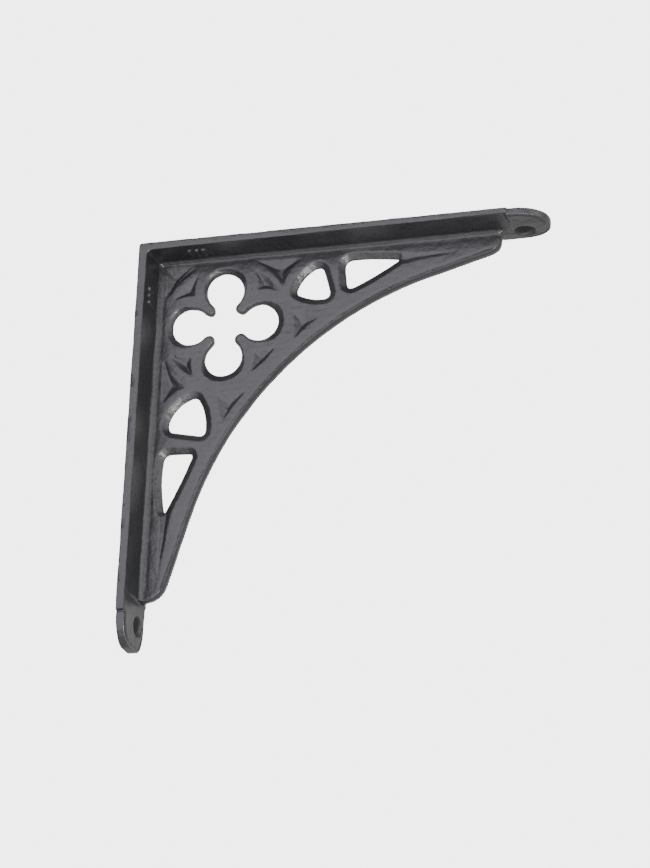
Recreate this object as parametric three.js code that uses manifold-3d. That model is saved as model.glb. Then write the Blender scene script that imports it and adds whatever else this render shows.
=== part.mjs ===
import * as THREE from 'three';
import Module from 'manifold-3d';
import { mergeVertices } from 'three/addons/utils/BufferGeometryUtils.js';

// Cast iron shelf bracket: one casting of a shelf plate, a wall plate and a pierced web.
// Millimetres. x runs out from the wall, y toward the back, z up.
// Plans of the web are drawn in (x, d), with d measured down from the shelf face.

// Arms and flange
const shelfArm = 150;
const wallArm = 152;
const flangeFront = 14.8;
const flangeBack = 6.4;
const shelfEdgeNear = 3.0;
const shelfEdgeFar = 2.1;
const shelfRoot = 2.7;
const wallEdge = 3.1;
const wallRoot = 3.8;
const rootFillet = 1.2;
const cornerRound = 1.0;
const innerRound = 2.2;

// Lugs at the arm ends
const lugSetBack = 0.9;
const shelfLugThick = 2.7;
const shelfLugStart = shelfArm - 12.8;
const wallLugStart = wallArm - 11.4;
const shelfLugNose = 13.4;
const wallLugNose = 17;
const shelfLugFullness = 2.4;
const wallLugFullness = 3.2;
const notchWide = 1.4;
const notchDeep = 1.6;

// Screw holes
const holeFromTip = 9.8;
const holeBore = 3.6;
const holeMouth = 8.0;
const countersink = 2.2;

// Web
const webThick = 4.0;
const archRadius = 123.1;
const archStart = [shelfArm - 44.6, 16.5];
const archStop = [20.1, wallArm - 50.9];
const shelfWebEnd = shelfArm - 18.6;
const wallWebEnd = wallArm - 18.8;
const shelfTailRound = 3.6;
const wallTailRound = 5.7;

// Quatrefoil
const foilCentre = [29.6, 28.65];
const foilReach = 13.0;
const foilRadius = 7.15;
const cuspTip = 6.4;
const foilSkew = 0.02;
const foilDrift = 0.45;
const foilBevel = 2.1;
const cuspBevel = 0.3;

// Tracery openings, bevelled wider on the side toward the corner
const traceryBevel = 2.0;
const traceryLean = 1.1;
const faceShift = 0.5;

// Sunk panels, sloping in from every side to a small floor that lies toward the arch
const panelDepth = 1.15;
const panelFloor = 0.18;
const panelLean = 0.3;
const ringOuter = 26.0;
const ringInner = 22.8;
const eyeTurn = THREE.MathUtils.degToRad(17.5);
const eyeInner = 16.6;

// Grooves that run on from the long openings toward the arm ends
const grooveMiddle = 0.45;
const grooveEnd = 0.04;
const shelfGroove = { wide: 5.2, deep: 1.3, long: 22 };
const wallGroove = { wide: 4.0, deep: 1.4, long: 25 };

// Cast strokes near the corner
const strokeHigh = 0.8;
const strokeWide = 1.4;
const strokeLong = 5.0;
const strokePitch = 2.6;

const wasm = await Module();
wasm.setup();

function manifoldOf(geometry) {
  let g = geometry.clone();
  g.deleteAttribute('normal');
  g.deleteAttribute('uv');
  g = mergeVertices(g, 1e-5);
  const mesh = new wasm.Mesh({
    numProp: 3,
    vertProperties: new Float32Array(g.attributes.position.array),
    triVerts: new Uint32Array(g.index.array),
  });
  mesh.merge();
  return new wasm.Manifold(mesh);
}

// Triangles over a plan, turning the same way as the plan does.
function cap(plan) {
  const triangles = THREE.ShapeUtils.triangulateShape(plan, []);
  const turn = triangles.reduce((sum, [a, b, c]) => sum
    + (plan[b].x - plan[a].x) * (plan[c].y - plan[a].y)
    - (plan[b].y - plan[a].y) * (plan[c].x - plan[a].x), 0);
  const same = turn * THREE.ShapeUtils.area(plan) > 0;
  return same ? triangles : triangles.map(([a, b, c]) => [a, c, b]);
}

// A closed solid through rings of equal count, capped at both ends.
function loft(rings, flatten) {
  const count = rings[0].length;
  const points = rings.flat();
  const faces = [];
  for (let r = 0; r + 1 < rings.length; r++) {
    for (let i = 0; i < count; i++) {
      const a = r * count + i;
      const b = r * count + (i + 1) % count;
      faces.push([a, b, b + count], [a, b + count, a + count]);
    }
  }
  const last = (rings.length - 1) * count;
  faces.push(...cap(rings[0].map(flatten)).map(([a, b, c]) => [a, c, b]));
  faces.push(...cap(rings.at(-1).map(flatten)).map(([a, b, c]) => [last + a, last + b, last + c]));
  let volume = 0;
  const cross = new THREE.Vector3();
  for (const [a, b, c] of faces) {
    volume += points[a].dot(cross.crossVectors(points[b], points[c]));
  }
  const position = [];
  for (const [a, b, c] of faces) {
    for (const k of volume > 0 ? [a, b, c] : [a, c, b]) {
      position.push(points[k].x, points[k].y, points[k].z);
    }
  }
  const geometry = new THREE.BufferGeometry();
  geometry.setAttribute('position', new THREE.Float32BufferAttribute(position, 3));
  return manifoldOf(geometry);
}

const inPlan = (plan, y) => plan.map(([x, d]) => new THREE.Vector3(x, y, -d));
const acrossWeb = (rings) => loft(rings, (v) => new THREE.Vector2(v.x, v.z));
const alongShelf = (rings) => loft(rings, (v) => new THREE.Vector2(v.y, v.z));
const alongWall = (rings) => loft(rings, (v) => new THREE.Vector2(v.x, v.y));

// Point at share t of the arc from a to b that rises by bulge to the left of the way.
function onArc(a, b, bulge, t) {
  const dx = b[0] - a[0];
  const dy = b[1] - a[1];
  const chord = Math.hypot(dx, dy);
  const u = 2 * t - 1;
  const half = chord / 2;
  let rise = 0;
  if (Math.abs(bulge) > 1e-6) {
    const radius = (half * half + bulge * bulge) / (2 * Math.abs(bulge));
    rise = Math.sqrt(radius * radius - u * u * half * half) - (radius - Math.abs(bulge));
    rise *= Math.sign(bulge);
  }
  return [a[0] + dx * t + (dy / chord) * rise, a[1] + dy * t - (dx / chord) * rise];
}

// Closed plan from corners [x, d, corner trim, bulge of the side that follows].
function roundedPlan(corners, steps = 14) {
  const plan = [];
  const n = corners.length;
  const side = (i, t) => onArc(corners[i], corners[(i + 1) % n], corners[i][3], t);
  const length = (i) => {
    const a = corners[i];
    const b = corners[(i + 1) % n];
    return Math.hypot(b[0] - a[0], b[1] - a[1]);
  };
  for (let i = 0; i < n; i++) {
    const before = (i + n - 1) % n;
    const start = corners[i][2] / length(i);
    const stop = 1 - corners[(i + 1) % n][2] / length(i);
    const into = side(before, 1 - corners[i][2] / length(before));
    const out = side(i, start);
    const bend = new THREE.QuadraticBezierCurve(
      new THREE.Vector2(...into),
      new THREE.Vector2(corners[i][0], corners[i][1]),
      new THREE.Vector2(...out),
    );
    plan.push(...bend.getPoints(6).map((p) => [p.x, p.y]));
    const cuts = Math.abs(corners[i][3]) > 1e-6 ? steps : 1;
    for (let k = 1; k < cuts; k++) {
      plan.push(side(i, start + (stop - start) * k / cuts));
    }
  }
  return plan;
}

// The same plan moved outward; width takes the point's index and outward direction.
function widened(plan, width) {
  const n = plan.length;
  return plan.map((p, i) => {
    const a = plan[(i + n - 1) % n];
    const b = plan[(i + 1) % n];
    const dx = b[0] - a[0];
    const dy = b[1] - a[1];
    const long = Math.hypot(dx, dy);
    const w = width(i, dy / long, -dx / long);
    return [p[0] + (dy / long) * w, p[1] - (dx / long) * w];
  });
}

// Plans run clockwise on the paper, x right and d down, so the left side of the way is outward.

// Shelf plate, thickest where it meets the web
function shelfSection(x, edge) {
  const low = shelfRoot + rootFillet;
  const half = webThick / 2;
  const yz = [
    [-flangeFront, 0], [flangeBack, 0], [flangeBack, -shelfRoot + 0.4], [half + rootFillet, -shelfRoot],
    [half, -low], [-half, -low], [-half - rootFillet, -shelfRoot], [-flangeFront, -edge],
  ];
  return yz.map(([y, z]) => new THREE.Vector3(x, y, z));
}
const shelfEdgeAtWeb = THREE.MathUtils.lerp(shelfEdgeNear, shelfEdgeFar, shelfWebEnd / shelfLugStart);
const shelfPlate = alongShelf([
  shelfSection(cornerRound, shelfEdgeNear),
  shelfSection(shelfWebEnd, shelfEdgeAtWeb),
]);
function plainShelfSection(x, edge, root) {
  const yz = [[-flangeFront, 0], [flangeBack, 0], [flangeBack, -root], [0, -root], [-flangeFront, -edge]];
  return yz.map(([y, z]) => new THREE.Vector3(x, y, z));
}
const shelfPlateEnd = alongShelf([
  plainShelfSection(shelfWebEnd - 1, shelfEdgeAtWeb, shelfRoot),
  plainShelfSection(shelfLugStart, shelfEdgeFar, shelfRoot),
]);

// Wall plate
function wallSection(d, thick) {
  const deep = wallRoot + rootFillet;
  const half = webThick / 2;
  const xy = [
    [0, -flangeFront], [0, flangeBack], [wallRoot - 0.4, flangeBack], [wallRoot, half + rootFillet],
    [deep, half], [deep, -half], [wallRoot, -half - rootFillet], [thick, -flangeFront],
  ];
  return xy.map(([x, y]) => new THREE.Vector3(x, y, -d));
}
const wallPlate = alongWall([wallSection(cornerRound, wallEdge), wallSection(wallWebEnd, wallEdge)]);
function plainWallSection(d) {
  const xy = [[0, -flangeFront], [0, flangeBack], [wallEdge, flangeBack], [wallEdge, -flangeFront]];
  return xy.map(([x, y]) => new THREE.Vector3(x, y, -d));
}
const wallPlateEnd = alongWall([plainWallSection(wallWebEnd - 1), plainWallSection(wallLugStart)]);

// Rounded outer corner where the two plates meet
const cornerPlan = roundedPlan([
  [0, 0, cornerRound, 0],
  [shelfRoot * 2, 0, 0.2, 0],
  [shelfRoot * 2, shelfEdgeNear, 0.2, 0],
  [wallEdge, shelfEdgeNear, innerRound, 0],
  [wallEdge, shelfRoot * 2, 0.2, 0],
  [0, shelfRoot * 2, 0.2, 0],
]);
const cornerBlock = acrossWeb([inPlan(cornerPlan, -flangeFront), inPlan(cornerPlan, flangeBack)]);

// Lug plan in (along the arm, y): two straight sides and a full rounded nose
function lugPlan(tip, nose, fullness) {
  const from = tip - nose - 0.1;
  const front = -flangeFront + lugSetBack;
  const middle = (front + flangeBack) / 2;
  const half = (flangeBack - front) / 2;
  const plan = [[from, front]];
  const steps = 40;
  for (let k = 0; k <= steps; k++) {
    const angle = -Math.PI / 2 + Math.PI * k / steps;
    const c = Math.cos(angle);
    const s = Math.sin(angle);
    const reach = (Math.abs(c) ** fullness + Math.abs(s) ** fullness) ** (-1 / fullness);
    plan.push([tip - nose + nose * c * reach, middle + half * s * reach]);
  }
  plan.push([from, flangeBack]);
  return plan;
}
const shelfLugPlan = lugPlan(shelfArm, shelfLugNose, shelfLugFullness);
const shelfLug = alongWall([
  shelfLugPlan.map(([a, y]) => new THREE.Vector3(a, y, 0)),
  shelfLugPlan.map(([a, y]) => new THREE.Vector3(a, y, -shelfLugThick)),
]);
const wallLugPlan = lugPlan(wallArm, wallLugNose, wallLugFullness);
const wallLug = alongShelf([
  wallLugPlan.map(([a, y]) => new THREE.Vector3(0, y, -a)),
  wallLugPlan.map(([a, y]) => new THREE.Vector3(wallEdge, y, -a)),
]);

// Small notch in the front edge where the wall plate meets its lug
const notchPlan = [
  [wallLugStart - notchWide / 2, -flangeFront - 1],
  [wallLugStart + notchWide / 2 + 1, -flangeFront - 1],
  [wallLugStart + 0.3, -flangeFront + notchDeep],
];
const notch = alongShelf([
  notchPlan.map(([a, y]) => new THREE.Vector3(-1, y, -a)),
  notchPlan.map(([a, y]) => new THREE.Vector3(wallEdge + 1, y, -a)),
]);

// Web outline: plates, shelf end, tail, arch, tail, wall end. Each tail runs on straight from the arch.
const archSpan = [archStop[0] - archStart[0], archStop[1] - archStart[1]];
const archChord = Math.hypot(...archSpan);
const archBack = Math.sqrt(archRadius ** 2 - archChord ** 2 / 4) / archChord;
const archCentre = [
  (archStart[0] + archStop[0]) / 2 + archSpan[1] * archBack,
  (archStart[1] + archStop[1]) / 2 - archSpan[0] * archBack,
];
const towardCentre = (p) => Math.atan2(archCentre[0] - p[0], archCentre[1] - p[1]);
const shelfTail = towardCentre(archStart);
const wallTail = towardCentre(archStop);
const archPoint = (angle) => [
  archCentre[0] - archRadius * Math.sin(angle), archCentre[1] - archRadius * Math.cos(angle),
];
const shelfTailEnd = shelfWebEnd - shelfTailRound;
const shelfTailDrop = archStart[1] - (shelfTailEnd - archStart[0]) * Math.tan(shelfTail);
const wallTailEnd = wallWebEnd - wallTailRound;
const wallTailOut = archStop[0] - (wallTailEnd - archStop[1]) / Math.tan(wallTail);
const webPath = new THREE.Path();
webPath.moveTo(1.5, 1.5);
webPath.lineTo(shelfWebEnd + 1.9, 1.5);
webPath.lineTo(shelfWebEnd + 1.9, shelfRoot);
webPath.quadraticCurveTo(shelfWebEnd, shelfRoot + 0.6, shelfWebEnd, shelfRoot + 3.4);
webPath.quadraticCurveTo(shelfWebEnd - 0.1, shelfTailDrop - 1.2, shelfTailEnd, shelfTailDrop);
webPath.lineTo(...archStart);
const webPlan = webPath.getPoints(6).map((p) => [p.x, p.y]);
const archSteps = 44;
for (let k = 1; k <= archSteps; k++) {
  webPlan.push(archPoint(THREE.MathUtils.lerp(shelfTail, wallTail, k / archSteps)));
}
webPlan.push([wallTailOut, wallTailEnd]);
const wallEndCurve = new THREE.QuadraticBezierCurve(
  new THREE.Vector2(wallTailOut, wallTailEnd),
  new THREE.Vector2(wallTailOut - 1.7, wallWebEnd - 0.3),
  new THREE.Vector2(wallRoot + 1.2, wallWebEnd),
);
webPlan.push(...wallEndCurve.getPoints(6).slice(1).map((p) => [p.x, p.y]));
webPlan.push([1.5, wallWebEnd]);
const face = webThick / 2;
const web = acrossWeb([inPlan(webPlan, -face), inPlan(webPlan, face)]);

// Bevelled cutter: narrow at the middle of the web, wide at both faces
function opening(plan, bevel) {
  const wide = widened(plan, bevel);
  const past = widened(plan, (i, nx, nd) => bevel(i, nx, nd) * 1.25);
  const lip = face * 0.25;
  const slipped = (points) => points.map(([x, d]) => [x + faceShift, d + faceShift]);
  return acrossWeb([
    inPlan(slipped(past), -face - lip), inPlan(slipped(wide), -face), inPlan(plan, -0.35),
    inPlan(plan, 0.35), inPlan(wide, face), inPlan(past, face + lip),
  ]);
}

// Quatrefoil plan: four foils joined by round-nosed cusps on the diagonals
const cuspAt = (foilReach ** 2 - cuspTip ** 2 - foilRadius ** 2 + 2 * foilRadius * cuspTip)
  / (Math.SQRT2 * foilReach + 2 * (foilRadius - cuspTip));
const cuspRadius = cuspAt - cuspTip;
const foilPlan = [];
const foilBevels = [];
const towardCusp = Math.atan2(cuspAt * Math.SQRT1_2, cuspAt * Math.SQRT1_2 - foilReach);
for (let quarter = 0; quarter < 4; quarter++) {
  const turn = quarter * Math.PI / 2;
  const cos = Math.cos(turn);
  const sin = Math.sin(turn);
  const place = (u, v, w) => {
    const x = u * cos - v * sin;
    const d = u * sin + v * cos;
    const drift = foilDrift * Math.abs(d) / foilReach;
    foilPlan.push([foilCentre[0] + x + foilSkew * d - drift, foilCentre[1] + d + foilSkew * x]);
    foilBevels.push(w);
  };
  const foilSteps = 26;
  for (let k = 0; k <= foilSteps; k++) {
    const angle = THREE.MathUtils.lerp(-towardCusp, towardCusp, k / foilSteps);
    const share = THREE.MathUtils.smoothstep(Math.abs(angle), 0.7, 1.8);
    const w = THREE.MathUtils.lerp(foilBevel, cuspBevel, share);
    place(foilReach + foilRadius * Math.cos(angle), foilRadius * Math.sin(angle), w);
  }
  const mid = cuspAt * Math.SQRT1_2;
  const noseFrom = towardCusp - Math.PI;
  const noseTo = Math.PI / 2 - noseFrom;
  const noseSteps = 6;
  for (let k = 1; k < noseSteps; k++) {
    const angle = THREE.MathUtils.lerp(noseFrom + 2 * Math.PI, noseTo, k / noseSteps);
    place(mid + cuspRadius * Math.cos(angle), mid + cuspRadius * Math.sin(angle), cuspBevel);
  }
}
const quatrefoil = opening(foilPlan, (i) => foilBevels[i]);

// Tracery openings, two in each arm
const leaning = (i, nx, nd) => traceryBevel + traceryLean * Math.max(0, -(nx + nd) * Math.SQRT1_2);
const tracery = [
  [[55.9, 19.3, 1.2, 2.2], [65.5, 9.1, 2.6, 0.2], [69.1, 21.8, 2.6, 1.4]],
  [[73.6, 7.9, 3.4, 0.45], [94.8, 9.4, 1.6, 0.5], [74.8, 20.0, 3.2, 0]],
  [[9.9, 69.0, 2.6, 3.1], [20.5, 56.2, 1.4, 1.6], [24.2, 71.9, 2.6, 0]],
  [[9.4, 77.4, 2.9, 0], [20.6, 78.0, 2.3, 0.2], [10.5, 101.2, 2.6, 1.15]],
].map((corners) => opening(roundedPlan(corners), leaning));

// Sunk panels in the front face
function panel(corners) {
  const plan = roundedPlan(corners, 5);
  const middle = [0, 1].map((k) => plan.reduce((sum, p) => sum + p[k], 0) / plan.length);
  const floor = plan.map((p) => p.map((v, k) => middle[k] + (v - middle[k]) * panelFloor + panelLean));
  return acrossWeb([inPlan(plan, -face - 0.5), inPlan(plan, -face), inPlan(floor, -face + panelDepth)]);
}
const bow = (chord) => ringOuter - Math.sqrt(ringOuter ** 2 - chord ** 2 / 4);
const spandrels = [
  [[6.2, 4.6, 0.8, 0], [16.8, 5.0, 1, -bow(16.0)], [6.6, 17.2, 1, 0]],
  [[39.8, 5.0, 1, 0], [57.9, 5.8, 1, -0.9], [51.2, 16.2, 0.8, -bow(16.0)]],
  [[7.0, 40.4, 1, -bow(15.0)], [16.4, 52.4, 0.8, -0.8], [7.4, 59.0, 1, 0]],
  [[55.2, 26.0, 1, 0.6], [65.4, 29.8, 1, -0.3], [55.8, 38.0, 1, -0.7]],
  [[28.3, 56.2, 1, -0.6], [39.9, 55.2, 1, -0.3], [31.0, 67.2, 1, 0.6]],
].map(panel);

// Eyes between the foils, one on each diagonal inside the ring
const eyes = [0, 1, 2, 3].map((quarter) => {
  const middle = Math.PI / 4 + quarter * Math.PI / 2;
  const at = (radius, angle) => [
    foilCentre[0] + radius * Math.cos(angle), foilCentre[1] + radius * Math.sin(angle),
  ];
  const chord = 2 * ringInner * Math.sin(eyeTurn);
  const rise = ringInner - Math.sqrt(ringInner ** 2 - chord ** 2 / 4);
  return panel([
    [...at(ringInner, middle - eyeTurn), 1, rise],
    [...at(ringInner, middle + eyeTurn), 1, -0.7],
    [...at(eyeInner, middle), 0.8, -0.7],
  ]);
});

// Grooves, deep at the tip of the long opening and running out along the arm
function groove(from, to, { wide, deep }) {
  const along = new THREE.Vector2(to[0] - from[0], to[1] - from[1]).normalize();
  const section = ([x, d], share) => [-1, 0, 1].map((side) => {
    const out = side * wide * Math.sqrt(share) / 2;
    const y = side === 0 ? -face + deep * share : -face - 0.01;
    return new THREE.Vector3(x - along.y * out, y, -(d + along.x * out));
  });
  const part = (t) => from.map((v, k) => THREE.MathUtils.lerp(v, to[k], t));
  const rings = [section(from, 1), section(part(0.3), grooveMiddle), section(to, grooveEnd)];
  return Math.abs(along.x) > Math.abs(along.y) ? alongShelf(rings) : alongWall(rings);
}
const grooves = [
  groove([93.5, 9.9], [93.5 + shelfGroove.long, 8.9], shelfGroove),
  groove([11.6, 100.5], [10.1, 100.5 + wallGroove.long], wallGroove),
];

// Screw holes, countersunk from the inner faces
function screwHole(thick) {
  const profile = [
    [0, -1], [holeBore / 2, -1], [holeBore / 2, thick - countersink],
    [holeMouth / 2, thick], [holeMouth / 2, thick + 1], [0, thick + 1],
  ].map(([r, h]) => new THREE.Vector2(r, h));
  return new THREE.LatheGeometry(profile, 40);
}
const shelfHole = screwHole(shelfLugThick);
shelfHole.rotateX(-Math.PI / 2);
shelfHole.translate(shelfArm - holeFromTip, 0, 0);
const wallHole = screwHole(wallEdge);
wallHole.rotateZ(-Math.PI / 2);
wallHole.translate(0, 0, -(wallArm - holeFromTip));

// Short raised strokes on the inner faces near the corner
const strokes = [-1, 0, 1].flatMap((k) => {
  const onShelf = new THREE.BoxGeometry(strokeWide, strokeLong, strokeHigh * 2);
  onShelf.translate(20.5 + k * strokePitch, -8.6, -shelfRoot - 0.15);
  const onWall = new THREE.BoxGeometry(strokeHigh * 2, strokeLong, strokeWide);
  onWall.translate(wallEdge + 0.3, -8.6, -19 - k * strokePitch);
  return [manifoldOf(onShelf), manifoldOf(onWall)];
});

let body = shelfPlate.add(shelfPlateEnd).add(wallPlate).add(wallPlateEnd).add(cornerBlock);
body = body.add(shelfLug).add(wallLug).add(web);
for (const stroke of strokes) {
  body = body.add(stroke);
}
for (const cutter of [quatrefoil, ...tracery, ...spandrels, ...eyes, ...grooves, notch]) {
  body = body.subtract(cutter);
}
body = body.subtract(manifoldOf(shelfHole)).subtract(manifoldOf(wallHole));

const made = body.getMesh();
const geometry = new THREE.BufferGeometry();
geometry.setAttribute('position', new THREE.BufferAttribute(made.vertProperties, 3));
geometry.setIndex(new THREE.BufferAttribute(made.triVerts, 1));

const paintedIron = new THREE.MeshStandardMaterial({ color: 0x2b2b2e, roughness: 0.42, metalness: 0.1 });
const casting = new THREE.Mesh(geometry, paintedIron);
casting.name = 'bracket_casting';
casting.position.set(0, 0, wallArm / 2);

const bracket = new THREE.Group();
bracket.name = 'shelf_bracket';
bracket.add(casting);

export default bracket;
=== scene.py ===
import math

import bpy
import numpy as np
from mathutils import Matrix, Vector


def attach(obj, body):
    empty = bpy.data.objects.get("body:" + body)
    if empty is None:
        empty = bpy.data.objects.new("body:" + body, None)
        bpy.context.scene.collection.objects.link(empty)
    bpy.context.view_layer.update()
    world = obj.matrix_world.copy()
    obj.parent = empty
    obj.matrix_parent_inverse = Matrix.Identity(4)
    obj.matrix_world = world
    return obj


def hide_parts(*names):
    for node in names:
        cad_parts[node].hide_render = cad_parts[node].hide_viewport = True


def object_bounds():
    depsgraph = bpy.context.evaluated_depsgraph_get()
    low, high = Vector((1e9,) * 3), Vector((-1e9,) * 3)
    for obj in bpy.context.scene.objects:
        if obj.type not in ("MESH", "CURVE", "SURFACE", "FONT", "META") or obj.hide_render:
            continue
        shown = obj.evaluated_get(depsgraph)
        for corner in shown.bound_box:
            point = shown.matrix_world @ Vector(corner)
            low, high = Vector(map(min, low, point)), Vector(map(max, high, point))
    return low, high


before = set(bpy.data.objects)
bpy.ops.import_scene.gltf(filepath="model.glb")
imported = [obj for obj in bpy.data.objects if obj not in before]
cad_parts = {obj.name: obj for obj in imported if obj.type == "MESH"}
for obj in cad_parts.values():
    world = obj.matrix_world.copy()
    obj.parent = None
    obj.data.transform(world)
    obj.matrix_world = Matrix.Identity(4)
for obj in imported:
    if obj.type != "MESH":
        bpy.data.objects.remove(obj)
cad_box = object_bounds()

# Sizes in millimetres, as cast
MM = 0.001
SHELF_FACE = 76.0
WEB_FACE = 2.0
SHELF_ARM = 150.0
WALL_ARM = 152.0
INSIDE_BOX = 0.01

# Fineness of the cast surface
SKIN_GRID = 0.34
SKIN_ROUNDING = 5
SKIN_TRIANGLES = 190000
SHARP_ANGLE = 52

# Uneven skin: height, seed and length of the slow swells and of the small lumps
SKIN_SWELLS = ((0.045, 3, 9.0), (0.02, 5, 3.2))

# Edges that stay crisp: how far crispness reaches in full, and where it ends
ARCH_CRISP = (1.0, 2.0)
HOLE_CRISP = (0.6, 1.6)
CORNER_REACH = 0.27

# Lugs: length and fullness of the rounded nose, and the edges they lie between
SHELF_LUG = (13.4, 2.4)
WALL_LUG = (17.0, 3.2)
LUG_FRONT = -13.9
LUG_BACK = 6.4

# Groove inside the lugs' rims
RIM_DEEP = 0.36
RIM_INSET = 0.8
RIM_WIDTH = 0.4

# Arch of the web: radius and the two points where the straight tails begin
ARCH_RADIUS = 123.1
ARCH_START = (105.4, 16.5)
ARCH_STOP = (20.1, 101.1)

# Quatrefoil ring
RING_CENTRE = (29.6, 28.65)
RING_OUTER = 26.0

# Strokes in the ring: depth, direction in degrees turned from the shelf, and half the angle they span
RING_STROKES = ((0.45, 224, 21), (0.25, 315, 17), (0.25, 136, 17))

# Screw holes: distance of the centre from the arm's end, sizes, and paint built up in the bore
HOLE_FROM_TIP = 9.8
HOLE_BORE = 3.6
HOLE_MOUTH = 8.0
HOLE_PAINT = 0.45

# Painted shade in the screw holes, dark and rough: how far it lies toward the corner, its radius and
# soft edge
SHADE_SHIFT = 0.6
SHADE_RADIUS = 2.8
SHADE_EDGE = 0.8

# Paint: tones and roughness
PAINT_DARK = (0.0086, 0.0088, 0.0101, 1)
PAINT_LIGHT = (0.0150, 0.0150, 0.0166, 1)
# The next colour is a painted highlight on the outer edges
PAINTED_EDGE_HIGHLIGHT = (0.035, 0.034, 0.034, 1)
# The next colour is painted shade in the screw holes
PAINTED_HOLE_SHADE = (0.003, 0.003, 0.003, 1)
PAINT_ROUGHNESS = (0.32, 0.42)
ROUGHNESS_IN_HOLE = 1.0

# Point that the lamps look at, in metres
LAMP_AIM = Vector((0.05, 0, 0.02))


# Camera

def place_camera():
    """The photograph's angle: a little to the right of square on, looking up from below."""
    target = Vector((58.29, 31.63, 15.49)) * MM
    azimuth = math.radians(18.767)
    elevation = math.radians(-22.62)
    roll = math.radians(2.677)
    distance = 1.5
    sensor_width = 36.0
    photo_width = 650.0
    pixels_per_metre = 2774.75
    away = Vector((
        math.sin(azimuth) * math.cos(elevation),
        -math.cos(azimuth) * math.cos(elevation),
        math.sin(elevation),
    ))
    right = Vector((0, 0, 1)).cross(away).normalized()
    up = away.cross(right)
    turned_right = right * math.cos(roll) + up * math.sin(roll)
    turned_up = away.cross(turned_right)
    camera = bpy.data.objects.new("camera", bpy.data.cameras.new("camera"))
    bpy.context.scene.collection.objects.link(camera)
    axes = Matrix((turned_right, turned_up, away)).transposed()
    camera.matrix_world = Matrix.Translation(target + away * distance) @ axes.to_4x4()
    camera.data.lens = pixels_per_metre * distance * sensor_width / photo_width
    camera.data.sensor_fit = "HORIZONTAL"
    camera.data.sensor_width = sensor_width
    camera.data.clip_end = 50.0
    bpy.context.scene.camera = camera


# Node helpers

def add_node(tree, kind, values=None, **settings):
    """A node with settings, and with values on its named inputs."""
    node = tree.nodes.new(kind)
    for name, value in settings.items():
        setattr(node, name, value)
    for name, value in (values or {}).items():
        node.inputs[name].default_value = value
    return node


def join(tree, source, output, target, entry):
    """Links two nodes by the names of their sockets."""
    tree.links.new(source.outputs[output], target.inputs[entry])


def combined(tree, operation, first, second, **settings):
    """Two values through one piece of arithmetic."""
    node = add_node(tree, "ShaderNodeMath", operation=operation, **settings)
    tree.links.new(first, node.inputs[0])
    tree.links.new(second, node.inputs[1])
    return node.outputs["Value"]


def spread(tree, value, low, high, start=0.0, stop=1.0):
    """A value's range from low to high spread evenly from start to stop."""
    ends = {"From Min": low, "From Max": high, "To Min": start, "To Max": stop}
    node = add_node(tree, "ShaderNodeMapRange", ends)
    tree.links.new(value, node.inputs["Value"])
    return node.outputs["Result"]


def blended(tree, kind, mask, plain, other):
    """A plain socket, turned to another value where the mask is full."""
    node = add_node(tree, "ShaderNodeMix", data_type=kind)
    node.inputs["B"].default_value = other
    tree.links.new(mask, node.inputs["Factor"])
    tree.links.new(plain, node.inputs["A"])
    return node.outputs["Result"]


def shaded(tree, value, low, high):
    """Colours over a value, from one position and colour to another."""
    node = add_node(tree, "ShaderNodeValToRGB")
    for element, (position, colour) in zip(node.color_ramp.elements, (low, high)):
        element.position = position
        element.color = colour
    tree.links.new(value, node.inputs["Fac"])
    return node.outputs["Color"]


def new_group(name, amounts, results):
    """An effect's node group: a Vector, amounts with start values, and results."""
    group = bpy.data.node_groups.new(name, "ShaderNodeTree")
    face = group.interface
    face.new_socket("Vector", in_out="INPUT", socket_type="NodeSocketVector")
    for label, start in amounts:
        socket = face.new_socket(label, in_out="INPUT", socket_type="NodeSocketFloat")
        socket.default_value = start
    for label in results:
        face.new_socket(label, in_out="OUTPUT", socket_type="NodeSocketFloat")
    return group, add_node(group, "NodeGroupInput"), add_node(group, "NodeGroupOutput")


# Effects in the painted iron, of which the cast skin also serves the floor board

def cast_skin_group():
    """Uneven sand-cast skin under paint: slow swells, small lumps and fine tooth."""
    amounts = (("Lump Scale", 620.0), ("Tooth Scale", 2400.0), ("Tooth", 0.25))
    group, entry, leave = new_group("cast_skin", amounts, ("Height", "Patches"))
    lumps = add_node(group, "ShaderNodeTexNoise", {"Detail": 3.0, "Roughness": 0.55})
    tooth = add_node(group, "ShaderNodeTexNoise", {"Detail": 2.0, "Roughness": 0.6})
    patches = add_node(group, "ShaderNodeTexNoise", {"Scale": 55.0, "Detail": 3.0, "Roughness": 0.5})
    for node in (lumps, tooth, patches):
        join(group, entry, "Vector", node, "Vector")
    join(group, entry, "Lump Scale", lumps, "Scale")
    join(group, entry, "Tooth Scale", tooth, "Scale")
    fine = combined(group, "MULTIPLY", tooth.outputs["Fac"], entry.outputs["Tooth"])
    total = combined(group, "ADD", lumps.outputs["Fac"], fine)
    group.links.new(total, leave.inputs["Height"])
    join(group, patches, "Fac", leave, "Patches")
    return group


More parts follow.
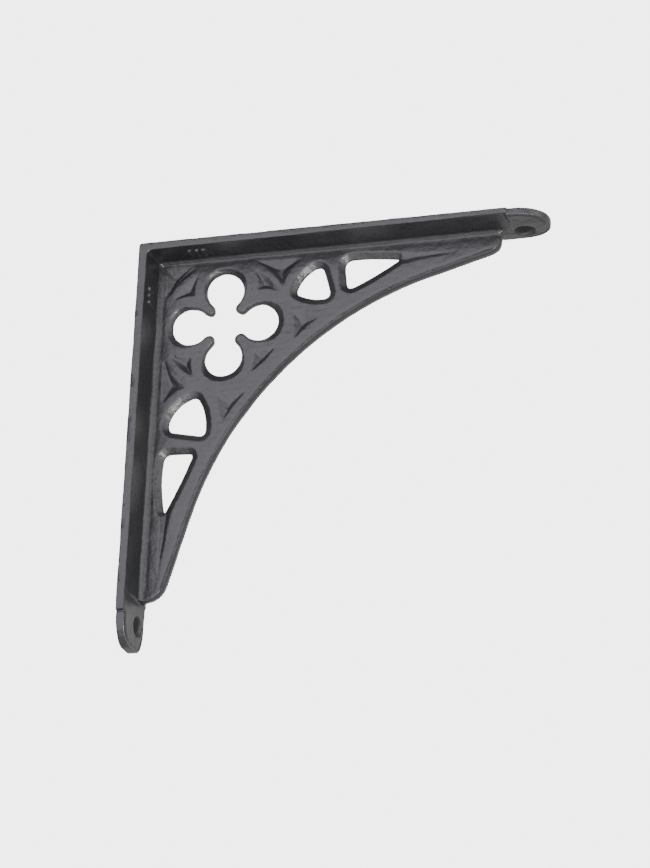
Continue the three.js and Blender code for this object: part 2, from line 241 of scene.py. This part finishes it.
def draw_marks_group():
    """Fine lines along the bevels, left where the pattern was drawn out of the sand."""
    group, entry, leave = new_group("draw_marks", (), ("Height",))
    stretched = add_node(group, "ShaderNodeMapping", {"Scale": (70.0, 1500.0, 70.0)})
    join(group, entry, "Vector", stretched, "Vector")
    lines = add_node(group, "ShaderNodeTexNoise", {"Scale": 1.0, "Detail": 2.0, "Roughness": 0.5})
    join(group, stretched, "Vector", lines, "Vector")
    shape = add_node(group, "ShaderNodeNewGeometry")
    parts = add_node(group, "ShaderNodeSeparateXYZ")
    join(group, shape, "Normal", parts, "Vector")
    flatness = add_node(group, "ShaderNodeMath", operation="ABSOLUTE")
    group.links.new(parts.outputs["Y"], flatness.inputs[0])
    off_the_face = spread(group, flatness.outputs["Value"], 0.93, 0.75)
    off_the_edge = spread(group, flatness.outputs["Value"], 0.2, 0.4)
    bevel = combined(group, "MULTIPLY", off_the_face, off_the_edge)
    marks = combined(group, "MULTIPLY", lines.outputs["Fac"], bevel)
    group.links.new(marks, leave.inputs["Height"])
    return group


def painted_edge_highlight_group():
    """Mask of the outer edges that carry a painted highlight, broken up by small noise."""
    group, entry, leave = new_group("painted_edge_highlight", (("Amount", 0.5),), ("Mask",))
    shape = add_node(group, "ShaderNodeNewGeometry")
    outer = spread(group, shape.outputs["Pointiness"], 0.52, 0.62)
    breaks = add_node(group, "ShaderNodeTexNoise", {"Scale": 320.0, "Detail": 4.0})
    join(group, entry, "Vector", breaks, "Vector")
    patchy = spread(group, breaks.outputs["Fac"], 0.42, 0.62)
    both = combined(group, "MULTIPLY", outer, patchy)
    mask = combined(group, "MULTIPLY", both, entry.outputs["Amount"], use_clamp=True)
    group.links.new(mask, leave.inputs["Mask"])
    return group


def off_axis(group, entry, middle, across):
    """Distance from a hole's axis through the middle, counted only in the directions across it."""
    offset = add_node(group, "ShaderNodeVectorMath", operation="SUBTRACT")
    offset.inputs[1].default_value = middle
    group.links.new(entry.outputs["Vector"], offset.inputs[0])
    flat = add_node(group, "ShaderNodeVectorMath", operation="MULTIPLY")
    flat.inputs[1].default_value = across
    group.links.new(offset.outputs["Vector"], flat.inputs[0])
    radius = add_node(group, "ShaderNodeVectorMath", operation="LENGTH")
    group.links.new(flat.outputs["Vector"], radius.inputs[0])
    return radius.outputs["Value"]


def painted_hole_shade_group():
    """Mask of the painted shade in the screw holes, fullest on the side toward the corner."""
    group, entry, leave = new_group("painted_hole_shade", (), ("Mask",))
    shelf_hole = ((SHELF_ARM - HOLE_FROM_TIP - SHADE_SHIFT) * MM, 0, 0)
    wall_hole = (0, 0, (SHELF_FACE - WALL_ARM + HOLE_FROM_TIP + SHADE_SHIFT) * MM)
    from_shelf_hole = off_axis(group, entry, shelf_hole, (1, 1, 0))
    from_wall_hole = off_axis(group, entry, wall_hole, (0, 1, 1))
    nearest = combined(group, "MINIMUM", from_shelf_hole, from_wall_hole)
    mask = spread(group, nearest, (SHADE_RADIUS + SHADE_EDGE) * MM, SHADE_RADIUS * MM)
    group.links.new(mask, leave.inputs["Mask"])
    return group


# Materials

def black_paint(skin, marks, edge_highlight_group, hole_shade_group):
    """Satin black paint over cast iron, with a painted highlight on the outer edges and painted shade,
    dark and rough, in the screw holes.
    """
    material = bpy.data.materials.new("satin_black_painted_iron")
    material.use_nodes = True
    tree = material.node_tree
    shader = tree.nodes["Principled BSDF"]
    shader.inputs["Metallic"].default_value = 0.0
    shader.inputs["IOR"].default_value = 1.5
    place = add_node(tree, "ShaderNodeTexCoord")
    cast = add_node(tree, "ShaderNodeGroup", node_tree=skin)
    drawn = add_node(tree, "ShaderNodeGroup", node_tree=marks)
    edge_highlight = add_node(tree, "ShaderNodeGroup", node_tree=edge_highlight_group)
    edge_highlight.inputs["Amount"].default_value = 0.5
    hole_shade = add_node(tree, "ShaderNodeGroup", node_tree=hole_shade_group)
    for effect in (cast, drawn, edge_highlight, hole_shade):
        join(tree, place, "Object", effect, "Vector")
    patch_low = 0.3
    patch_high = 0.7
    patches = cast.outputs["Patches"]
    tone = shaded(tree, patches, (patch_low, PAINT_DARK), (patch_high, PAINT_LIGHT))
    # Painted highlight: the outer edges are lightened
    tone = blended(tree, "RGBA", edge_highlight.outputs["Mask"], tone, PAINTED_EDGE_HIGHLIGHT)
    # Painted shade: the screw holes are darkened and made rough
    tone = blended(tree, "RGBA", hole_shade.outputs["Mask"], tone, PAINTED_HOLE_SHADE)
    tree.links.new(tone, shader.inputs["Base Color"])
    roughness = spread(tree, patches, patch_low, patch_high, PAINT_ROUGHNESS[0], PAINT_ROUGHNESS[1])
    roughness = blended(tree, "FLOAT", hole_shade.outputs["Mask"], roughness, ROUGHNESS_IN_HOLE)
    tree.links.new(roughness, shader.inputs["Roughness"])
    relief = combined(tree, "ADD", cast.outputs["Height"], drawn.outputs["Height"])
    bump = add_node(tree, "ShaderNodeBump", {"Strength": 0.8, "Distance": 0.00024})
    tree.links.new(relief, bump.inputs["Height"])
    join(tree, bump, "Normal", shader, "Normal")
    return material


def pale_board(skin):
    """Matt pale studio floor, seen only from above."""
    material = bpy.data.materials.new("pale_floor")
    material.use_nodes = True
    tree = material.node_tree
    shader = tree.nodes["Principled BSDF"]
    shader.inputs["Roughness"].default_value = 0.9
    place = add_node(tree, "ShaderNodeTexCoord")
    grain = add_node(tree, "ShaderNodeGroup", {"Lump Scale": 3.0, "Tooth Scale": 60.0}, node_tree=skin)
    join(tree, place, "Object", grain, "Vector")
    dull_white = (0.0, (0.80, 0.80, 0.80, 1))
    clean_white = (1.0, (0.86, 0.86, 0.86, 1))
    tone = shaded(tree, grain.outputs["Patches"], dull_white, clean_white)
    tree.links.new(tone, shader.inputs["Base Color"])
    clear = add_node(tree, "ShaderNodeBsdfTransparent")
    side = add_node(tree, "ShaderNodeNewGeometry")
    one_sided = add_node(tree, "ShaderNodeMixShader")
    join(tree, side, "Backfacing", one_sided, "Fac")
    tree.links.new(shader.outputs["BSDF"], one_sided.inputs[1])
    tree.links.new(clear.outputs["BSDF"], one_sided.inputs[2])
    join(tree, one_sided, "Shader", tree.nodes["Material Output"], "Surface")
    return material


# Mesh helpers

def settle(piece):
    """Makes the modifiers' result the piece's own mesh."""
    graph = bpy.context.evaluated_depsgraph_get()
    mesh = bpy.data.meshes.new_from_object(piece.evaluated_get(graph))
    piece.modifiers.clear()
    old = piece.data
    piece.data = mesh
    bpy.data.meshes.remove(old)


def points_of(mesh):
    """The mesh's points in millimetres."""
    flat = np.empty(len(mesh.vertices) * 3)
    mesh.vertices.foreach_get("co", flat)
    return flat.reshape(-1, 3) / MM


def place_points(mesh, points):
    """Moves the mesh's points to places in millimetres."""
    mesh.vertices.foreach_set("co", (points * MM).ravel())
    mesh.update()


def normals_of(mesh):
    """The outward direction at each point."""
    flat = np.empty(len(mesh.vertices) * 3)
    mesh.vertices.foreach_get("normal", flat)
    return flat.reshape(-1, 3)


# Shapes over the casting: x runs out from the wall, y toward the back, d down from the shelf face

def ridge(offset, width):
    """Rounded ridge of unit height over its own centre line."""
    return np.exp(-(offset / width) ** 2)


def step(value, low, high):
    """Smooth rise from 0 at low to 1 at high."""
    t = np.clip((value - low) / (high - low), 0, 1)
    return t * t * (3 - 2 * t)


def swells(points, seed, length, count=14):
    """Smooth uneven field of about unit size whose bumps are about length across."""
    dice = np.random.default_rng(seed)
    field = np.zeros(len(points))
    for _ in range(count):
        way = dice.normal(size=3)
        way /= np.linalg.norm(way)
        pitch = 2 * math.pi / (length * dice.uniform(0.7, 1.6))
        field += np.sin(points @ way * pitch + dice.uniform(0, 2 * math.pi))
    return field / math.sqrt(count / 2)


def hole_radius(p):
    """Distance from the axis of the screw hole on the same arm."""
    across_shelf = np.hypot(p[:, 0] - SHELF_ARM + HOLE_FROM_TIP, p[:, 1])
    across_wall = np.hypot(SHELF_FACE - p[:, 2] - WALL_ARM + HOLE_FROM_TIP, p[:, 1])
    return np.where(p[:, 0] > SHELF_ARM / 2, across_shelf, across_wall)


def from_arch(x, d):
    """Distance from the arch and its straight tails, positive in the web."""
    span = (ARCH_STOP[0] - ARCH_START[0], ARCH_STOP[1] - ARCH_START[1])
    chord = math.hypot(*span)
    back = math.sqrt(ARCH_RADIUS ** 2 - chord ** 2 / 4) / chord
    cx = (ARCH_START[0] + ARCH_STOP[0]) / 2 + span[1] * back
    cd = (ARCH_START[1] + ARCH_STOP[1]) / 2 - span[0] * back
    gap = np.hypot(x - cx, d - cd) - ARCH_RADIUS
    for (px, pd), turn in ((ARCH_START, 1), (ARCH_STOP, -1)):
        out = ((px - cx) / ARCH_RADIUS, (pd - cd) / ARCH_RADIUS)
        past = ((x - px) * -out[1] + (d - pd) * out[0]) * turn > 0
        gap = np.where(past, (x - px) * out[0] + (d - pd) * out[1], gap)
    return gap


def from_lug_edge(in_from_tip, y, lug):
    """Distance in from a lug's rounded outline."""
    nose, fullness = lug
    half = (LUG_BACK - LUG_FRONT) / 2
    along = np.clip((nose - in_from_tip) / nose, 0, 2)
    across = np.abs(y - (LUG_FRONT + LUG_BACK) / 2) / half
    return (1 - (along ** fullness + across ** fullness) ** (1 / fullness)) * half


def crescent(x, d, facing, half_angle):
    """Stroke along the ring's edge, its middle at an angle in degrees turned from the shelf."""
    inset = 0.1
    width = 0.9
    full_share = 0.4
    angle = np.degrees(np.arctan2(d - RING_CENTRE[1], x - RING_CENTRE[0])) - facing
    angle = np.abs((angle + 180) % 360 - 180)
    radius = np.hypot(x - RING_CENTRE[0], d - RING_CENTRE[1])
    fade = 1 - step(angle, half_angle * full_share, half_angle)
    return ridge(radius - RING_OUTER + inset, width) * fade


# The casting's own surface

def remeshed_copy(node, name):
    """The solid's surface as an even mesh."""
    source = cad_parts[node]
    piece = bpy.data.objects.new(name, source.data.copy())
    bpy.context.scene.collection.objects.link(piece)
    even = piece.modifiers.new("even", "REMESH")
    even.mode = "VOXEL"
    even.voxel_size = SKIN_GRID * MM
    even.adaptivity = 0.0
    exact = piece.modifiers.new("exact", "SHRINKWRAP")
    exact.target = source
    exact.wrap_method = "NEAREST_SURFACEPOINT"
    settle(piece)
    return piece


def ease_edges(piece):
    """Rounds the edges, except at the screw holes and along the arch, which stay crisp."""
    before = points_of(piece.data)
    ease = piece.modifiers.new("ease", "SMOOTH")
    ease.factor = 0.5
    ease.iterations = SKIN_ROUNDING
    settle(piece)
    after = points_of(piece.data)
    x = before[:, 0]
    d = SHELF_FACE - before[:, 2]
    gap = from_arch(x, d)
    mouth = HOLE_MOUTH / 2
    at_arch = 1 - step(np.abs(gap), *ARCH_CRISP)
    at_hole = 1 - step(hole_radius(before), mouth + HOLE_CRISP[0], mouth + HOLE_CRISP[1])
    crisp = np.maximum(at_arch, at_hole)
    points = after + (before - after) * crisp[:, None]
    snap_to_arch_corner(points, x, d, gap)
    place_points(piece.data, points)


def snap_to_arch_corner(points, x, d, gap):
    """Puts the points beside the arch's front edge exactly on it."""
    stride = 0.01
    corner = (np.abs(gap) < CORNER_REACH) & (np.abs(points[:, 1] + WEB_FACE) < CORNER_REACH)
    slope_x = (from_arch(x + stride, d) - gap) / stride
    slope_d = (from_arch(x, d + stride) - gap) / stride
    points[:, 0] -= corner * gap * slope_x
    points[:, 2] += corner * gap * slope_d
    points[:, 1] = np.where(corner, -WEB_FACE, points[:, 1])


def press_beads(p, n, d):
    """Shallow beads along both plates and a groove inside the arch's edge, in the front face."""
    bead_width = 0.6
    wall_bead_at = 6.0
    wall_bead_deep = 0.10
    shelf_bead_at = 4.9
    shelf_bead_deep = 0.05
    arch_groove_at = 1.0
    arch_groove_deep = 0.15
    arch_groove_width = 0.45
    x = p[:, 0]
    y = p[:, 1]
    on_front_face = step(-n[:, 1], 0.6, 0.9) * (y < -1.2) * (y > -3.2)
    along_wall = step(d, 6, 12) * (1 - step(d, 126, 132))
    along_shelf = step(x, 6, 12) * (1 - step(x, 126, 131))
    sink = wall_bead_deep * ridge(x - wall_bead_at, bead_width) * along_wall
    sink += shelf_bead_deep * ridge(d - shelf_bead_at, bead_width) * along_shelf
    sink += arch_groove_deep * ridge(from_arch(x, d) - arch_groove_at, arch_groove_width)
    p[:, 1] += on_front_face * sink


def press_ring_strokes(p, n, d):
    """Shallow strokes along the outer edge of the quatrefoil's ring."""
    x = p[:, 0]
    y = p[:, 1]
    in_web = step(-n[:, 1], 0.25, 0.5) * (y < 0.4) * (y > -2.6) * (x > 5.2) * (d > 4.2)
    depth = sum(deep * crescent(x, d, facing, half_angle) for deep, facing, half_angle in RING_STROKES)
    p[:, 1] += in_web * depth


def round_upper_walls(p, n, d):
    """Slight rounding across those walls of the openings that face the arch."""
    proud = 0.16
    line_at = -1.15
    line_width = 0.45
    x = p[:, 0]
    y = p[:, 1]
    toward_arch = step(n[:, 0] - n[:, 2], 0.5, 0.9) * step(-n[:, 1], 0.2, 0.4)
    wall = toward_arch * (1 - step(-n[:, 1], 0.75, 0.88)) * (x > 8) * (d > 8) * step(-y, 0.4, 0.8)
    p += n * (proud * wall * ridge(y - line_at, line_width))[:, None]


def raise_parting_line(p, n, d):
    """Seam of the mould round the web's edges, proud in the middle and falling to both faces."""
    seam_proud = 0.16
    seam_width = 0.5
    fall = 0.10
    x = p[:, 0]
    y = p[:, 1]
    sideways = np.hypot(n[:, 0], n[:, 2])
    edge = step(sideways, 0.8, 0.95) * (np.abs(y) < 2.2) * (x > 5.5) * (d > 5.5)
    height = seam_proud * ridge(y, seam_width) - fall * step(np.abs(y), 0.4, 2.0)
    p += n * (edge * height)[:, None]


def build_up_hole_paint(p):
    """Narrows both screw holes by the paint that gathered in their bores."""
    radius = hole_radius(p)
    bore = HOLE_BORE / 2
    least_radius = 1.0
    gathered = 1 - step(radius, bore + 0.1, bore + 1.0)
    shrink = 1 - HOLE_PAINT * gathered / np.maximum(radius, least_radius)
    on_shelf = p[:, 0] > SHELF_ARM / 2
    middle_x = SHELF_ARM - HOLE_FROM_TIP
    middle_z = SHELF_FACE - WALL_ARM + HOLE_FROM_TIP
    p[:, 0] = np.where(on_shelf, middle_x + (p[:, 0] - middle_x) * shrink, p[:, 0])
    p[:, 2] = np.where(on_shelf, p[:, 2], middle_z + (p[:, 2] - middle_z) * shrink)
    p[:, 1] *= shrink


def groove_lug_rims(p, n, d):
    """Fine groove just inside the rounded rim of both lugs, on their inner faces."""
    x = p[:, 0]
    y = p[:, 1]
    rim = RIM_DEEP * ridge(from_lug_edge(SHELF_ARM - x, y, SHELF_LUG) - RIM_INSET, RIM_WIDTH)
    p[:, 2] += rim * step(-n[:, 2], 0.8, 0.95) * (d < 4) * (x > SHELF_ARM - 12.5)
    rim = RIM_DEEP * ridge(from_lug_edge(WALL_ARM - d, y, WALL_LUG) - RIM_INSET, RIM_WIDTH)
    p[:, 0] -= rim * step(n[:, 0], 0.8, 0.95) * (x < 4) * (d > WALL_ARM - 11)


def cast_surface(piece):
    """Moves the even mesh to the marks that moulding and paint leave."""
    p = points_of(piece.data)
    n = normals_of(piece.data)
    d = SHELF_FACE - p[:, 2]
    press_beads(p, n, d)
    press_ring_strokes(p, n, d)
    round_upper_walls(p, n, d)
    raise_parting_line(p, n, d)
    build_up_hole_paint(p)
    groove_lug_rims(p, n, d)
    lumps = sum(height * swells(p, seed, length) for height, seed, length in SKIN_SWELLS)
    p += n * lumps[:, None]
    low = np.array(cad_box[0]) / MM + INSIDE_BOX
    high = np.array(cad_box[1]) / MM - INSIDE_BOX
    place_points(piece.data, np.clip(p, low, high))


def thin_out(piece):
    """Fewer triangles where the surface is plain."""
    faces = sum(len(face.vertices) - 2 for face in piece.data.polygons)
    if faces > SKIN_TRIANGLES:
        thin = piece.modifiers.new("thin", "DECIMATE")
        thin.ratio = SKIN_TRIANGLES / faces
        settle(piece)
    piece.data.polygons.foreach_set("use_smooth", [True] * len(piece.data.polygons))
    piece.data.set_sharp_from_angle(angle=math.radians(SHARP_ANGLE))


# Studio

def soft_light(name, way, distance, size, power, tint):
    """Rectangular lamp in the given direction, aimed at the bracket and out of the camera's sight."""
    lamp = bpy.data.lights.new(name, "AREA")
    lamp.shape = "RECTANGLE"
    lamp.size = size[0]
    lamp.size_y = size[1]
    lamp.energy = power
    lamp.color = tint
    holder = bpy.data.objects.new(name, lamp)
    bpy.context.scene.collection.objects.link(holder)
    position = Vector(way).normalized() * distance
    back = (position - LAMP_AIM).normalized()
    turn = back.to_track_quat("Z", "Y").to_matrix().to_4x4()
    holder.matrix_world = Matrix.Translation(position) @ turn
    holder.visible_camera = False


def studio_air():
    """Pale surround: white behind the bracket, greyer on the camera's side."""
    seen_strength = 4.5
    grey_front = (0.35, (0.15, 0.15, 0.16, 1))
    white_back = (0.9, (0.95, 0.95, 0.94, 1))
    world = bpy.data.worlds.new("studio")
    world.use_nodes = True
    bpy.context.scene.world = world
    tree = world.node_tree
    tree.nodes.clear()
    out = add_node(tree, "ShaderNodeOutputWorld")
    seen = add_node(tree, "ShaderNodeBackground", {"Color": (1, 1, 1, 1), "Strength": seen_strength})
    felt = add_node(tree, "ShaderNodeBackground", {"Strength": 1.0})
    ray = add_node(tree, "ShaderNodeLightPath")
    pick = add_node(tree, "ShaderNodeMixShader")
    way = add_node(tree, "ShaderNodeTexCoord")
    parts = add_node(tree, "ShaderNodeSeparateXYZ")
    join(tree, way, "Generated", parts, "Vector")
    backward = spread(tree, parts.outputs["Y"], -1.0, 1.0)
    tree.links.new(shaded(tree, backward, grey_front, white_back), felt.inputs["Color"])
    join(tree, ray, "Is Camera Ray", pick, "Fac")
    tree.links.new(felt.outputs["Background"], pick.inputs[1])
    tree.links.new(seen.outputs["Background"], pick.inputs[2])
    join(tree, pick, "Shader", out, "Surface")


def floor_board(material):
    """Round board below the bracket."""
    radius = 1.3
    height = -0.8
    corners = 96
    angles = np.linspace(0, 2 * math.pi, corners + 1)[:-1]
    around = [(radius * math.cos(a), radius * math.sin(a), height) for a in angles]
    mesh = bpy.data.meshes.new("floor")
    mesh.from_pydata(around, [], [list(range(corners))])
    mesh.materials.append(material)
    board = bpy.data.objects.new("floor", mesh)
    bpy.context.scene.collection.objects.link(board)


place_camera()
skin = cast_skin_group()
marks = draw_marks_group()
edge_highlight_group = painted_edge_highlight_group()
hole_shade_group = painted_hole_shade_group()
paint = black_paint(skin, marks, edge_highlight_group, hole_shade_group)

casting = remeshed_copy("bracket_casting", "cast_bracket")
ease_edges(casting)
cast_surface(casting)
thin_out(casting)
casting.data.materials.clear()
casting.data.materials.append(paint)
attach(casting, "root")
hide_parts("bracket_casting")
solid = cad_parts["bracket_casting"]
solid.data.materials.clear()
solid.data.materials.append(paint)

studio_air()
soft_light("front_softbox", (-0.14, -0.95, 0.10), 1.2, (1.7, 1.8), 32, (0.98, 0.96, 1.05))
soft_light("side_softbox", (0.88, -0.36, 0.20), 1.2, (1.0, 1.4), 14, (1.0, 1.0, 1.0))
soft_light("under_softbox", (-0.25, -0.42, -0.87), 1.2, (1.3, 1.1), 10, (1.0, 1.0, 1.0))
soft_light("low_light", (0.54, -0.72, -0.44), 0.9, (0.16, 0.16), 9.5, (1.0, 1.0, 0.95))
floor_board(pale_board(skin))
